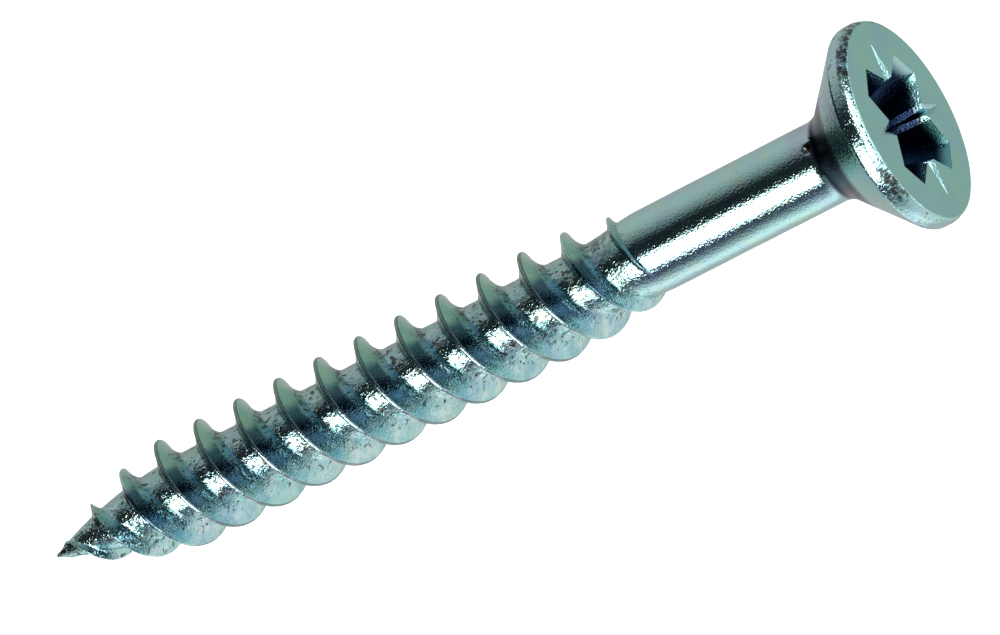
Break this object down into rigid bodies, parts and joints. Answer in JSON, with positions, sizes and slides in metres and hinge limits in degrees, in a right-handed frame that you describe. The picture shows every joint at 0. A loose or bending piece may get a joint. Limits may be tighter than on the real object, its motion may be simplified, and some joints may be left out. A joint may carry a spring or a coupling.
{
  "type": "wood screw",
  "caption": "Countersunk wood screw with a type Z cross recess, a plain shank, a right-hand twin thread and a gimlet point, bright zinc plated.",
  "frame": {"origin": "centre of the head's flat face, on the screw's axis and at the mouth of the drive recess", "axes": "+Z along the axis, out of the head towards the driver, so the point is at Z -45 mm; +X and +Y lie between the recess's wings, along its tick marks"},
  "size_m": [0.0092, 0.0092, 0.045],
  "materials": {
    "plated_head": "bright zinc plate over a cold-headed blank, satin",
    "plated_shank": "bright zinc plate over drawn wire, glossy",
    "plated_thread": "bright zinc plate over a rolled thread, finely pitted at the root"
  },
  "bodies": {
    "root": {"head": "plated_head", "shank": "plated_shank", "thread": "plated_thread", "gimlet_point": "plated_thread"}
  },
  "joints": []
}
